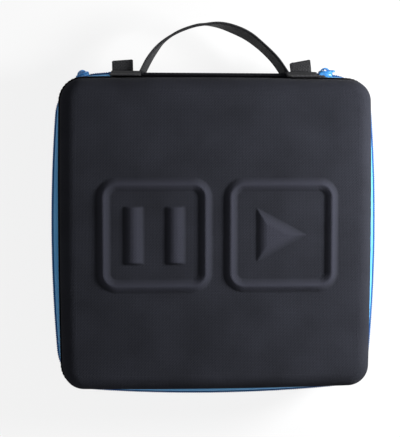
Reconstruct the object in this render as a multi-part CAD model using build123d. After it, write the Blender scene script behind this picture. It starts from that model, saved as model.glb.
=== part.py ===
from build123d import *
from math import asin, cos, degrees, radians, sin, sqrt, tan
import os

# Zip-up moulded case lying flat on its base shell. Origin: centre of the base's flat bottom.
# +X is the user's right, +Y points to the hinge and the carry handle, +Z points up to the lid face.
# All sizes are millimetres.

# Moulded shells
shell_half_width = 149.1
shell_corner_radius = 23.0
shell_side_bow = 6000.0
shell_depth = 34.0
shell_draft = 8.0
shell_edge_radius = 15.0
shell_wall = 4.5
lining_thickness = 0.8

# Gap between the two shells, closed by the zip and by the hinge fabric
rim_gap = 20.0
binding_height = 6.0
binding_thickness = 1.2

# Zip
chain_stand_out = 7.4
chain_corner_radius = 42.0
chain_side_bow = 1450.0
coil_width = 3.0
coil_height = 2.9
coil_parting = 0.3
tape_thickness = 1.2
tape_overhang = 0.6

# Embossed lid face
ring_size = 105.5
ring_bead_width = 12.0
ring_outer_radius = 18.5
ring_spacing = 116.2
bead_height = 3.5
bead_edge_radius = 2.8
bar_width = 19.0
bar_length = 54.6
bar_spacing = 38.2
bar_corner_radius = 4.0
triangle_length = 46.4
triangle_height = 49.1
triangle_corner_radius = 3.5
triangle_offset = 1.3

# Hinge fabric between the shells
spine_end_inset = 50.1
spine_gap = 0.4
spine_bulge = 2.6
spine_thickness = 2.0
spine_inset = 0.8
hinge_axis_stand_out = 7.1

# Webbing
webbing_width = 20.0
webbing_thickness = 2.4
handle_left_inset = 29.5
handle_right_inset = 30.5
handle_top_offset = -4.0
handle_rise = 47.0
handle_axis_stand_out = 7.6
handle_clearance = 0.4
tab_left_inset = 10.5
tab_right_inset = 15.0
tab_length = 12.8
tab_thickness = 3.6
tab_edge_radius = 1.44
patch_width = 26.0
patch_height = 17.0
patch_thickness = 1.2

# Sliders and pulls
slider_length = 13.0
slider_height = 11.2
slider_plate = 1.6
slider_clearance = 0.5
slider_left_angle = 22.0
slider_left_turn = 20.0
slider_park_gap = 1.3
slider_right_travel = 4.5
slider_room_angle = 12.0
slider_room_end = 1.5
lug_thickness = 1.3
lug_reach = 4.0
lug_seat = 0.4
pin_radius = 0.9
pin_stand_off = 2.3
pull_clearance = 0.3
pull_length = 9.5
pull_neck_length = 4.0
pull_thickness = 1.6
pull_grip_width = 9.0
pull_neck_width = 5.6
pull_corner_radius = 2.25
stop_length = 3.0

# Inside
tray_clearance = 0.3
tray_floor = 5.5
tray_drop = 1.0
tray_wall = 17.6
recess_corner_radius = 10.0
scoop_radius = 17.0
scoop_inset = 11.9
pad_thickness = 5.0
pad_margin = 15.6
pad_corner_radius = 24.0
pocket_width = 230.0
pocket_length = 190.0
pocket_depth = 7.0
pocket_edge_width = 8.0
pocket_corner_radius = 10.0
mesh_thickness = 1.0
elastic_width = 12.0
elastic_thickness = 1.6

# Heights that follow from the sizes above
base_rim = shell_depth
parting = shell_depth + rim_gap / 2
lid_rim = shell_depth + rim_gap
lid_face = lid_rim + shell_depth
shell_form = (shell_half_width, shell_corner_radius, shell_side_bow)
chain_half_width = shell_half_width + chain_stand_out
chain_form = (chain_half_width, chain_corner_radius, chain_side_bow)
recess_size = 2 * (shell_half_width - tray_wall)
pad_size = 2 * (shell_half_width - pad_margin)

# Places along the hinge side
spine_half = shell_half_width - spine_end_inset
spine_width = 2 * spine_half
spine_face = shell_half_width + spine_inset
spine_crown = spine_face + spine_bulge
handle_axis = spine_face + handle_axis_stand_out
handle_left_foot = handle_left_inset - spine_half
handle_right_foot = spine_half - handle_right_inset
tab_left_centre = tab_left_inset - spine_half
tab_right_centre = spine_half - tab_right_inset
slider_right_place = spine_half + spine_gap + slider_park_gap + slider_length / 2


def corner_centre(form):
    half, corner, bow = form
    span = bow - half
    return (sqrt(2 * (bow - corner) ** 2 - span ** 2) - span) / 2


def outline(form, offset, z):
    """Face inside a rounded square whose sides bow out, grown by offset, at height z."""
    half, corner, bow = (size + offset for size in form)
    centre = corner_centre(form)
    span = bow - half
    run = bow * centre / (bow - corner)
    edge = bow * (centre + span) / (bow - corner) - span
    bend = centre + corner * sqrt(0.5)
    edges = []
    for quarter in range(4):
        points = [(edge, -run), (half, 0), (edge, run), (bend, bend), (run, edge)]
        turned = [Vector(x, y, z).rotate(Axis.Z, 90 * quarter) for x, y in points]
        edges.append(ThreePointArc(turned[0], turned[1], turned[2]))
        edges.append(ThreePointArc(turned[2], turned[3], turned[4]))
    return Face(Wire(edges))


def prism(form, offset, low, high):
    return extrude(outline(form, offset, low), high - low, dir=(0, 0, 1))


def ring(form, inner, outer, low, high):
    return prism(form, outer, low, high) - prism(form, inner, low, high)


def moulding(inset):
    """Drafted pan with a rolled edge, rim at z = 0 and face up, inset from the shell's outside."""
    depth = shell_depth - inset
    narrowing = depth * tan(radians(shell_draft))
    pan = loft([outline(shell_form, -inset, 0), outline(shell_form, -inset - narrowing, depth)], ruled=True)
    top = pan.faces().sort_by(Axis.Z)[-1]
    return fillet(top.edges(), shell_edge_radius - inset)


def as_lid(shape):
    return Pos(0, 0, lid_rim) * shape


def as_base(shape):
    return Pos(0, 0, base_rim) * mirror(shape, Plane.XY)


def block(low, high):
    size = [abs(b - a) for a, b in zip(low, high)]
    middle = [(a + b) / 2 for a, b in zip(low, high)]
    return Pos(*middle) * Box(*size)


def slab(width, length, radius, low, high):
    return Pos(0, 0, low) * extrude(RectangleRounded(width, length, radius), high - low)


def raised(sketch):
    """Pad that stands up from the lid face, with a rounded top edge."""
    pad = extrude(sketch, bead_height)
    return fillet(pad.faces().sort_by(Axis.Z)[-1].edges(), bead_edge_radius)


def bead_ring():
    inner_size = ring_size - 2 * ring_bead_width
    inner_radius = ring_outer_radius - ring_bead_width + bead_edge_radius
    sketch = RectangleRounded(ring_size, ring_size, ring_outer_radius)
    return raised(sketch - RectangleRounded(inner_size, inner_size, inner_radius))


def pause_bar():
    return raised(RectangleRounded(bar_width, bar_length, bar_corner_radius))


def play_triangle():
    left = -triangle_length / 2
    corners = [(left, -triangle_height / 2), (triangle_length / 2, 0), (left, triangle_height / 2)]
    sketch = make_face(Polyline(*corners, close=True))
    return raised(fillet(sketch.vertices(), triangle_corner_radius))


def shell():
    return moulding(0) - moulding(shell_wall)


def lid_shell():
    face = lid_face
    body = as_lid(shell())
    for side in (-1, 1):
        body += Pos(side * ring_spacing / 2, 0, face) * bead_ring()
        body += Pos(-ring_spacing / 2 + side * bar_spacing / 2, 0, face) * pause_bar()
    return body + Pos(ring_spacing / 2 + triangle_offset, 0, face) * play_triangle()


def lining():
    return moulding(shell_wall) - moulding(shell_wall + lining_thickness)


def rim_binding():
    narrowing = binding_height * tan(radians(shell_draft))
    low = outline(shell_form, binding_thickness, 0)
    high = outline(shell_form, binding_thickness - narrowing, binding_height)
    return loft([low, high], ruled=True) - moulding(0)


def lining_floor():
    return shell_wall + lining_thickness + tray_clearance


def foam_tray():
    body = as_base(moulding(lining_floor()))
    top = base_rim - tray_drop
    body -= block((-shell_half_width, -shell_half_width, top), (shell_half_width, shell_half_width, lid_face))
    recess_floor = lining_floor() + tray_floor
    body -= slab(recess_size, recess_size, recess_corner_radius, recess_floor, lid_face)
    for side in (-1, 1):
        scoop = Cylinder(scoop_radius, lid_face, align=(Align.CENTER, Align.CENTER, Align.MIN))
        body -= Pos(side * (recess_size / 2 - scoop_inset), 0, recess_floor) * scoop
    return body


def lid_pad_faces():
    top = lid_face - lining_floor()
    return top - pad_thickness, top


def lid_foam_pad():
    low, high = lid_pad_faces()
    return slab(pad_size, pad_size, pad_corner_radius, low, high) & as_lid(moulding(lining_floor()))


def pocket_frame():
    high = lid_pad_faces()[0]
    low = high - pocket_depth
    frame = slab(pocket_width, pocket_length, pocket_corner_radius, low, high)
    inner_width = pocket_width - 2 * pocket_edge_width
    far = pocket_length
    near = -pocket_length / 2 + pocket_edge_width
    return frame - block((-inner_width / 2, near, low), (inner_width / 2, far, high))


def mesh_pocket():
    high = lid_pad_faces()[0] - pocket_depth
    return slab(pocket_width, pocket_length, pocket_corner_radius, high - mesh_thickness, high)


def pocket_elastic():
    high = lid_pad_faces()[0] - pocket_depth - mesh_thickness
    edge = pocket_length / 2
    side = pocket_width / 2 - pocket_corner_radius
    return block((-side, edge - elastic_width, high - elastic_thickness), (side, edge, high))


def zip_coil(side):
    """Half of the chain; side is 1 for the lid's half and -1 for the base's."""
    near = parting + side * coil_parting
    far = parting + side * (coil_parting + coil_height)
    return ring(chain_form, -coil_width / 2, coil_width / 2, min(near, far), max(near, far))


def zip_tape(side):
    rim = parting + side * rim_gap / 2
    chain = parting + side * (coil_parting + coil_height)
    skins = []
    for inset in (0, tape_thickness):
        lower = outline(shell_form, tape_overhang - inset, rim)
        upper = outline(chain_form, tape_thickness / 2 - inset, chain)
        skins.append(loft([lower, upper], ruled=True))
    return skins[0] - skins[1]


def spine_room():
    """Space at the back where the hinge fabric takes the zip's place."""
    return block((-spine_half - spine_gap, 0, 0), (spine_half + spine_gap, 2 * shell_half_width, lid_face))


def slider_room():
    """Space of both parked sliders and their travel, which the lid's half of the zip leaves open."""
    centre = corner_centre(chain_form)
    swing = radians(90 + slider_left_angle + slider_left_turn + slider_room_angle)
    reach = 4 * chain_corner_radius
    far = (-centre + reach * cos(swing), centre + reach * sin(swing))
    corners = [(-centre, centre), far, (far[0], 2 * chain_half_width), (0, 2 * chain_half_width), (0, centre)]
    room = extrude(make_face(Polyline(*corners, close=True)), lid_face)
    right = slider_right_place + slider_right_travel + slider_length / 2 + slider_room_end
    return room + block((0, centre, 0), (right, 2 * chain_half_width, lid_face))


def zip_stops():
    """Moulded stops that end the base's half of the chain beside the hinge fabric."""
    centre = corner_centre(chain_form)
    low = parting - coil_parting - coil_height
    band = ring(chain_form, -coil_width / 2, coil_width / 2, low, parting - coil_parting)
    stops = []
    for side in (-1, 1):
        near = side * (spine_half + spine_gap)
        far = near + side * stop_length
        stops.append(band & block((near, centre, 0), (far, 2 * centre, lid_face)))
    return stops[0] + stops[1]


def hinge_spine():
    half = rim_gap / 2 - spine_gap
    inner = spine_face - spine_thickness
    low = (spine_face, parting - half)
    high = (spine_face, parting + half)
    bulge = ThreePointArc(low, (spine_crown, parting), high)
    back = Polyline(high, (inner, parting + half), (inner, parting - half), low)
    profile = make_face([bulge, back])
    return Pos(-spine_half, 0, 0) * extrude(Plane.YZ * profile, spine_width, dir=(1, 0, 0))


def spine_lining():
    half = rim_gap / 2 - spine_gap
    outer = spine_face - spine_thickness
    return block((-spine_half, outer - lining_thickness, parting - half), (spine_half, outer, parting + half))


def anchor_patch(centre):
    """Flat webbing patch sewn over the hinge fabric under each tab."""
    low, high = centre - patch_width / 2, centre + patch_width / 2
    low, high = max(low, -spine_half), min(high, spine_half)
    body = block((low, spine_face, parting - patch_height / 2),
                 (high, spine_crown + patch_thickness, parting + patch_height / 2))
    return body - hinge_spine()


def tab(centre):
    """Folded webbing tab that stands out from its patch."""
    root = spine_crown + patch_thickness
    body = block((centre - webbing_width / 2, root, parting - tab_thickness / 2),
                 (centre + webbing_width / 2, root + tab_length, parting + tab_thickness / 2))
    return fillet(body.faces().sort_by(Axis.Y)[-1].edges().filter_by(Axis.X), tab_edge_radius)


def handle_ribbon():
    """Arched webbing on edge: two arcs that share a level tangent at the top."""
    top = (handle_top_offset, spine_crown + handle_rise)
    paths = []
    for foot in (handle_left_foot, handle_right_foot):
        half_span = abs(foot - handle_top_offset)
        radius = (half_span ** 2 + handle_rise ** 2) / (2 * handle_rise)
        middle = Vector(top[0], top[1] - radius)
        to_foot = Vector(foot, spine_crown) - middle
        halfway = middle + (to_foot + Vector(0, radius)).normalized() * radius
        paths.append(ThreePointArc((foot, spine_crown), tuple(halfway), top))
    bands = [trace(path, webbing_thickness) for path in paths]
    flat = extrude(bands[0] + bands[1], webbing_width)
    return Pos(0, 0, parting - webbing_width / 2) * flat


def handle_pivot(radius):
    rod = Cylinder(radius, spine_width, rotation=(0, 90, 0))
    return Pos(0, handle_axis, parting) * rod


def behind_pivot():
    return block((-spine_half, spine_face, base_rim), (spine_half, handle_axis, lid_rim))


def handle_webbing():
    return handle_ribbon() - handle_pivot(webbing_width / 2 + handle_clearance) - behind_pivot()


def handle_root(side):
    roots = handle_ribbon() & (handle_pivot(webbing_width / 2) + behind_pivot())
    half = block((0, 0, 0), (side * spine_half, 2 * shell_half_width, lid_face))
    return (roots & half) - hinge_spine()


def slider_place(side):
    """Location on the chain's centre line: X along the chain to the right, Y outwards."""
    centre = corner_centre(chain_form)
    if side < 0:
        turn = radians(90 + slider_left_angle)
        x = -centre + chain_corner_radius * cos(turn)
        y = centre + chain_corner_radius * sin(turn)
        return Pos(x, y, parting) * Rot(0, 0, slider_left_angle)
    turn = asin(slider_right_place / chain_side_bow)
    y = chain_half_width - chain_side_bow * (1 - cos(turn))
    return Pos(slider_right_place, y, parting) * Rot(0, 0, -degrees(turn))


def slider_faces():
    inner = coil_width / 2 + slider_clearance
    return inner, inner + slider_plate


def pin_place(side):
    """The right pull lies along the chain on an upright pin; the left one hangs from a level pin."""
    hang = 90 if side < 0 else 0
    return slider_place(side) * Pos(0, slider_faces()[1] + pin_stand_off, 0) * Rot(0, hang, 0)


def slider(side):
    """Zip slider: outer and inner plates joined above the base's coil, with lugs and a pull pin."""
    inner, outer = slider_faces()
    place = slider_place(side)
    footprint = place * Box(slider_length, 4 * outer, 2 * slider_height)
    low = parting - slider_height / 2
    high = parting + slider_height / 2
    tape_edge = parting - coil_parting - coil_height
    body = ring(chain_form, inner, outer, low, high)
    body += ring(chain_form, -outer, -inner, tape_edge, high)
    body += ring(chain_form, -outer, outer, parting + slider_clearance, parting + slider_clearance + slider_plate)
    body &= footprint
    lug_gap = pull_neck_width + 2 * pull_clearance
    bail = Cylinder(pin_radius, lug_gap + lug_thickness)
    for level in (-1, 1):
        lug = Box(2 * pin_radius + lug_thickness, lug_reach, lug_thickness)
        height = lug_reach / 2 - lug_seat - pin_stand_off
        bail += Pos(0, height, level * (lug_gap + lug_thickness) / 2) * lug
    return body + pin_place(side) * bail


def pull(side):
    """Pull tab whose eye turns on the slider's pin."""
    eye_radius = pin_radius + pull_clearance + pull_thickness / 2
    body = Cylinder(eye_radius, pull_neck_width)
    body += block((0, -pull_thickness / 2, -pull_neck_width / 2),
                  (pull_neck_length, pull_thickness / 2, pull_neck_width / 2))
    grip = block((pull_neck_length, -pull_thickness / 2, -pull_grip_width / 2),
                 (pull_length, pull_thickness / 2, pull_grip_width / 2))
    body += fillet(grip.edges().filter_by(Axis.Y), pull_corner_radius)
    body -= Cylinder(pin_radius + pull_clearance, 2 * pull_neck_width)
    return pin_place(side) * body


nodes = {
    "base_shell": as_base(shell()),
    "base_lining": as_base(lining()),
    "base_rim_binding": as_base(rim_binding()),
    "foam_tray": foam_tray(),
    "zip_tape_base": zip_tape(-1) - spine_room(),
    "zip_coil_base": zip_coil(-1) - spine_room() - zip_stops(),
    "zip_stops": zip_stops(),
    "lid_shell": lid_shell(),
    "lid_lining": as_lid(lining()),
    "lid_rim_binding": as_lid(rim_binding()),
    "lid_foam_pad": lid_foam_pad(),
    "pocket_frame": pocket_frame(),
    "mesh_pocket": mesh_pocket(),
    "pocket_elastic": pocket_elastic(),
    "zip_tape_lid": zip_tape(1) - spine_room() - slider_room(),
    "zip_coil_lid": zip_coil(1) - spine_room() - slider_room(),
    "hinge_spine": hinge_spine(),
    "spine_lining": spine_lining(),
    "anchor_patch_left": anchor_patch(tab_left_centre),
    "anchor_patch_right": anchor_patch(tab_right_centre),
    "tab_left": tab(tab_left_centre),
    "tab_right": tab(tab_right_centre),
    "handle_root_left": handle_root(-1),
    "handle_root_right": handle_root(1),
    "handle_webbing": handle_webbing(),
    "slider_left": slider(-1),
    "slider_right": slider(1),
    "pull_left": pull(-1),
    "pull_right": pull(1),
}

os.makedirs("parts", exist_ok=True)
for name, shape in nodes.items():
    export_step(shape, f"parts/{name}.step")

# Places of the moving pieces' axes, for whoever joins them
fold_y = spine_face + hinge_axis_stand_out
print("hinge fabric folds at y", fold_y, "on z", base_rim, "and z", lid_rim)
print("handle swings at y", handle_axis, "z", parting)
print("left slider turns about the chain's corner centre", corner_centre(chain_form))
print("right slider runs along", slider_place(1).x_axis.direction)
print("pull pins", pin_place(-1), pin_place(1))
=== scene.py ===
# %% [markdown]
# # A zip-up moulded case for a grid controller
# The real case is two foam shells with a woven skin, a fabric hinge at the back, and a bright blue zip.
# The imported model is loaded first. It stays as it is, and most pieces made here ride on one of its bodies.
# Sizes below are in metres, in the same frame: +Z is up, +Y points to the hinge and the handle.

# %% Load the frame
import math
import bmesh
import bpy
from mathutils import Matrix, Vector
from mathutils.geometry import delaunay_2d_cdt


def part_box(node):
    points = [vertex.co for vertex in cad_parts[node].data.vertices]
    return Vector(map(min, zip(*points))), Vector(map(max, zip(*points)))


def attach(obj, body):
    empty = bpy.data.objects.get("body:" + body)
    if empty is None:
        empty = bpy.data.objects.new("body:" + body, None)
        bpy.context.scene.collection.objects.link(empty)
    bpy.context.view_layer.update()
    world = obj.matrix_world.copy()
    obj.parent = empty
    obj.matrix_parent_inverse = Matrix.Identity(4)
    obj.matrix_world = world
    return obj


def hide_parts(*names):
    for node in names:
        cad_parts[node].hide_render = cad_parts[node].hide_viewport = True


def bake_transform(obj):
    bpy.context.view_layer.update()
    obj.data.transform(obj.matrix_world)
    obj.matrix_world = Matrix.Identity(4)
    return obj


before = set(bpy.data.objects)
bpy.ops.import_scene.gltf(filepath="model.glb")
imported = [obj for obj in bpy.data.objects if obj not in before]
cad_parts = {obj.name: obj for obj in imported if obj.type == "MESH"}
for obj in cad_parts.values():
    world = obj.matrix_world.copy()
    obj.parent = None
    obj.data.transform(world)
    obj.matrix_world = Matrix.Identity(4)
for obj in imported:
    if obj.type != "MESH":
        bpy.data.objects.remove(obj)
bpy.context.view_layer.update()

MM = 0.001

# %% [markdown]
# ## Driving sizes
# The shells, the zip and the hinge are placed from a few real sizes, which repeat those of the model.
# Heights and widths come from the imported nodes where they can, so that they can't drift from it. The base
# stands on the floor, so its rim is as high as a shell is deep. A form is half a width, the radius of its
# corners and the radius of its bowed sides.

# %% Driving sizes
def corners(node):
    """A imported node's lowest and highest corners at rest."""
    return [Vector(corner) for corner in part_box(node)]


def heights(node):
    """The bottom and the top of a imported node."""
    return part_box(node)[0][2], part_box(node)[1][2]


SHELL_DRAFT = math.radians(8)
SHELL_ROLL = 15 * MM
SHELL_WALL = 4.5 * MM
LINING = 0.8 * MM
BASE_RIM = heights("base_shell")[1]
LID_RIM = heights("lid_lining")[0]
LID_FACE = heights("lid_lining")[1] + SHELL_WALL
PARTING = (BASE_RIM + LID_RIM) / 2
SHELL_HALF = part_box("base_shell")[1][0]
SHELL_DEPTH = BASE_RIM
SHELL_FORM = (SHELL_HALF, 23 * MM, 6.0)
CHAIN_FORM = (SHELL_HALF + 7.4 * MM, 42 * MM, 1.45)
BINDING_OUT = 1.2 * MM
COIL_HEIGHT = 2.9 * MM
COIL_PARTING = 0.3 * MM
SPINE_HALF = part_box("hinge_spine")[1][0]
SPINE_FACE = SHELL_HALF + 0.8 * MM
SPINE_SWELL = 1.6 * MM
SPINE_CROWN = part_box("hinge_spine")[1][1] + SPINE_SWELL
WEBBING = 20 * MM
HALVES = (("lid", 1, "lid"), ("base", -1, "case_base"))
print("rims", BASE_RIM, LID_RIM, "face", LID_FACE, "half width", SHELL_HALF)

# %% [markdown]
# ## Small helpers
# Colours are written as the sRGB hex values a colour picker shows, and one function turns them to linear.
# One function adds a node with its settings and links, so that a material reads as a short list. Blender
# keeps a thing's data apart from its place in the scene, and one function makes the second from the first.

# %% Colour, node and object helpers
def linear(hex_colour):
    values = [int(hex_colour[i:i + 2], 16) / 255 for i in (1, 3, 5)]
    return [v / 12.92 if v <= 0.04045 else ((v + 0.055) / 1.055) ** 2.4 for v in values] + [1.0]


def add(tree, kind, settings=None, **links):
    """Add a node of a kind; settings are its properties, links its inputs, by value or by socket."""
    node = tree.nodes.new(kind)
    for name, value in (settings or {}).items():
        setattr(node, name, value)
    for name, value in links.items():
        socket = node.inputs[int(name[1:])] if name[1:].isdigit() else node.inputs[name.replace("_", " ")]
        if isinstance(value, bpy.types.NodeSocket):
            tree.links.new(value, socket)
        else:
            socket.default_value = value
    return node


def new_material(name, base, rough, **settings):
    """A Principled material whose own sockets hold the single numbers."""
    material = bpy.data.materials.new(name)
    material.use_nodes = True
    shader = material.node_tree.nodes["Principled BSDF"]
    shader.inputs["Base Color"].default_value = linear(base)
    shader.inputs["Roughness"].default_value = rough
    for key, value in settings.items():
        shader.inputs[key.replace("_", " ")].default_value = value
    return material, material.node_tree, shader


def new_object(name, data):
    """An object for some data, linked to the scene."""
    thing = bpy.data.objects.new(name, data)
    bpy.context.scene.collection.objects.link(thing)
    return thing


print("mid grey", round(linear("#808080")[0], 3), "in linear light")

# %% [markdown]
# ## Outlines
# Seen from above, both the shells and the zip are rounded squares whose sides bow out a little.
# A side is an arc of a large circle and a corner an arc of a small one, and the two share a tangent.
# Every loop has the same number of points, so any two loops can be joined by a strip of faces.

# %% Outline helpers
SIDE_STEPS = 36
CORNER_STEPS = 14


def spread(low, high, steps):
    """Evenly spaced numbers from low to high, with both ends."""
    return [low + (high - low) * i / steps for i in range(steps + 1)]


def corner_centre(form):
    """How far from the middle, along X and Y alike, the centre of a corner's arc is."""
    half, corner, bow = form
    span = bow - half
    return (math.sqrt(2 * (bow - corner) ** 2 - span ** 2) - span) / 2


def outline(form, offset):
    """Points of a bowed, rounded square grown by offset, anticlockwise from the right side's front end."""
    half, corner, bow = (size + offset for size in form)
    centre = corner_centre(form)
    span = bow - half
    lean = math.asin(centre / (bow - corner))
    points = []
    for quarter in range(4):
        turn = Matrix.Rotation(math.pi / 2 * quarter, 2)
        for i in range(SIDE_STEPS):
            angle = lean * (2 * i / SIDE_STEPS - 1)
            points.append(turn @ Vector((bow * math.cos(angle) - span, bow * math.sin(angle))))
        for i in range(CORNER_STEPS):
            angle = lean + (math.pi / 2 - 2 * lean) * i / CORNER_STEPS
            arc = Vector((centre + corner * math.cos(angle), centre + corner * math.sin(angle)))
            points.append(turn @ arc)
    return points


def at_height(points, z):
    return [Vector((p[0], p[1], z)) for p in points]


def loops(form, profile):
    """The outline of a form once for each (offset, height) pair of a profile."""
    return [at_height(outline(form, offset), z) for offset, z in profile]


def lengths(points, closed=True):
    """Distance along a line of points, with one more entry for a closed line."""
    total = [0.0]
    pairs = zip(points, points[1:] + points[:1]) if closed else zip(points, points[1:])
    for a, b in pairs:
        total.append(total[-1] + (b - a).length)
    return total


print("a shell is", round(lengths(outline(SHELL_FORM, 0.0))[-1], 3), "m round")

# %% [markdown]
# ## Skins
# Most pieces are skins: rows of points joined by strips of faces. Curves with a bevel would make tubes as
# well, but rows give each piece its own section. Each skin gets a UV map in metres, so that a weave has its
# real size and follows the cloth round corners.

# %% Skin helpers
def finish_piece(name, verts, faces, uvs=None, smooth=True):
    mesh = bpy.data.meshes.new(name)
    mesh.from_pydata([tuple(v) for v in verts], [], faces)
    if uvs:
        layer = mesh.uv_layers.new(name="UVMap")
        for polygon, face_uvs in zip(mesh.polygons, uvs):
            for loop, uv in zip(polygon.loop_indices, face_uvs):
                layer.data[loop].uv = uv
    mesh.validate()
    for polygon in mesh.polygons:
        polygon.use_smooth = smooth
    return new_object(name, mesh)


def strips(rows, closed=False, wrap=False):
    """Faces and UVs between rows; closed joins each row's ends, and wrap the last row to the first."""
    count = len(rows[0])
    along = lengths(rows[len(rows) // 2], closed)
    across = lengths([row[0] for row in rows], wrap)
    faces, uvs = [], []
    for i in range(len(rows) if wrap else len(rows) - 1):
        for j in range(count if closed else count - 1):
            a, b = i, (i + 1) % len(rows)
            c = (j + 1) % count
            faces.append((a * count + j, a * count + c, b * count + c, b * count + j))
            uvs.append(((along[j], across[i]), (along[j + 1], across[i]),
                        (along[j + 1], across[i + 1]), (along[j], across[i + 1])))
    return faces, uvs


def skin(name, rows, closed=False, wrap=False, caps=False):
    """A piece from rows of points; caps closes the first and the last row with a flat face each."""
    faces, uvs = strips(rows, closed, wrap)
    verts = [p for row in rows for p in row]
    if caps:
        count = len(rows[0])
        last = len(verts) - count
        for cap in (list(range(count))[::-1], [last + i for i in range(count)]):
            faces.append(tuple(cap))
            uvs.append([(verts[i][0], verts[i][1]) for i in cap])
    return finish_piece(name, verts, faces, uvs)


# %% Closing a mesh and dressing a piece
def edited(piece, change):
    """Change a piece's mesh so that it is closed, then turn its faces outwards."""
    mesh = bmesh.new()
    mesh.from_mesh(piece.data)
    change(mesh)
    bmesh.ops.recalc_face_normals(mesh, faces=mesh.faces)
    mesh.to_mesh(piece.data)
    mesh.free()
    return piece


def outward(piece):
    """Merge the doubles of a closed mesh and turn its faces outwards."""
    return edited(piece, lambda mesh: bmesh.ops.remove_doubles(mesh, verts=mesh.verts, dist=0.001 * MM))


def close_ends(piece):
    """Fill the open ends of a tube and turn its faces outwards."""
    return edited(piece, lambda mesh: bmesh.ops.holes_fill(
        mesh, edges=[e for e in mesh.edges if e.is_boundary], sides=0))


def from_bmesh(name, mesh, smooth=False):
    """An object from an edited mesh, which is freed; smooth rounds the shading of all its faces."""
    data = bpy.data.meshes.new(name)
    mesh.to_mesh(data)
    mesh.free()
    for polygon in data.polygons:
        polygon.use_smooth = smooth or polygon.use_smooth
    return new_object(name, data)


def dress(piece, body, material, slot, *nodes):
    """Give a finished piece its material, its body and the nodes it stands for; its slot is not used."""
    piece.data.materials.clear()
    piece.data.materials.append(material)
    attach(piece, body)
    if nodes:
        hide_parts(*nodes)
    print(piece.name, len(piece.data.polygons), "faces on", body)

# %% [markdown]
# ## Camera
# The photograph looks almost straight down from a little to the left and towards the handle. Its sides
# lean in slightly to the right and to the front, which gives the camera's place and its distance.

# %% Camera
FRAME_SIZE = (400, 437)
FOCUS_PIXELS = 877.0
SENSOR = 36.0
CAMERA_HEIGHT = 0.85
CAMERA_PLACE = Vector((-0.064, 0.061, PARTING + CAMERA_HEIGHT))
CAMERA_AIM = Vector((-0.0143, 0.0136, PARTING))


def make_camera():
    data = bpy.data.cameras.new("camera")
    data.sensor_fit = "VERTICAL"
    data.sensor_height = SENSOR
    data.lens = FOCUS_PIXELS / FRAME_SIZE[1] * SENSOR
    camera = new_object("camera", data)
    back = (CAMERA_PLACE - CAMERA_AIM).normalized()
    right = Vector((0, 1, 0)).cross(back).normalized()
    up = back.cross(right)
    turn = Matrix((right, up, back)).transposed()
    camera.matrix_world = Matrix.Translation(CAMERA_PLACE) @ turn.to_4x4()
    bpy.context.scene.camera = camera
    print("camera lens", round(data.lens, 2))


make_camera()

# %% [markdown]
# ## Light and stage
# A product photograph on white: one soft light stands low on the right, so that it rakes across the lid and
# draws the raised symbols, and a pale surround fills the shade. The floor is a plain white surface that
# keeps the soft shadow. What the camera or a reflection sees of it is mixed with plain white, so nothing
# more falls on the case.

# %% Light and stage
LIGHT_AIM = Vector((0, 0, 0.05))
WORLD_LEVEL = 0.22
FLOOR_REACH = 3.0
FLOOR_LIFT = 0.85


def area_light(name, place, size, power):
    data = bpy.data.lights.new(name, "AREA")
    data.shape = "DISK"
    data.size = size
    data.energy = power
    light = new_object(name, data)
    light.rotation_euler = (LIGHT_AIM - Vector(place)).to_track_quat("-Z", "Y").to_euler()
    light.location = place


def seen_directly(tree):
    """One where a ray comes from the camera, a reflection or a see-through part, else zero."""
    path = add(tree, "ShaderNodeLightPath")
    either = add(tree, "ShaderNodeMath", {"operation": "MAXIMUM"},
                 _0=path.outputs["Is Camera Ray"], _1=path.outputs["Is Glossy Ray"])
    return add(tree, "ShaderNodeMath", {"operation": "MAXIMUM"},
               _0=either.outputs[0], _1=path.outputs["Is Transmission Ray"]).outputs[0]


def make_world():
    """White where it is seen, and a low level where it lights the case."""
    world = bpy.data.worlds.new("studio")
    world.use_nodes = True
    bpy.context.scene.world = world
    tree = world.node_tree
    background = tree.nodes["Background"]
    background.inputs["Color"].default_value = linear("#ffffff")
    level = add(tree, "ShaderNodeMapRange", _0=seen_directly(tree), _3=WORLD_LEVEL, _4=1.0)
    tree.links.new(level.outputs[0], background.inputs["Strength"])


def make_floor():
    """A white sweep; the lift is the share of plain white that the camera sees mixed into it."""
    places = [(x * FLOOR_REACH, y * FLOOR_REACH, 0) for x, y in ((-1, -1), (1, -1), (1, 1), (-1, 1))]
    floor = finish_piece("floor", places, [(0, 1, 2, 3)], smooth=False)
    material, tree, shader = new_material("white_paper_sweep", "#f4f4f5", 0.9, Specular_IOR_Level=0.0)
    share = add(tree, "ShaderNodeMath", {"operation": "MULTIPLY"}, _0=seen_directly(tree), _1=FLOOR_LIFT)
    glow = add(tree, "ShaderNodeEmission", Color=linear("#ffffff"), Strength=1.0)
    mixed = add(tree, "ShaderNodeMixShader", _0=share.outputs[0], _1=shader.outputs[0], _2=glow.outputs[0])
    tree.links.new(mixed.outputs[0], tree.nodes["Material Output"].inputs["Surface"])
    floor.data.materials.append(material)


area_light("low_right_key", place=(0.52, 0.12, 0.35), size=0.2, power=7.2)
area_light("overhead_fill", place=(-0.2, -0.3, 1.6), size=1.2, power=1.2)
make_world()
make_floor()
bpy.context.scene.view_settings.view_transform = "Standard"
print("lights", len(bpy.data.lights), "floor", FLOOR_REACH)
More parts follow.
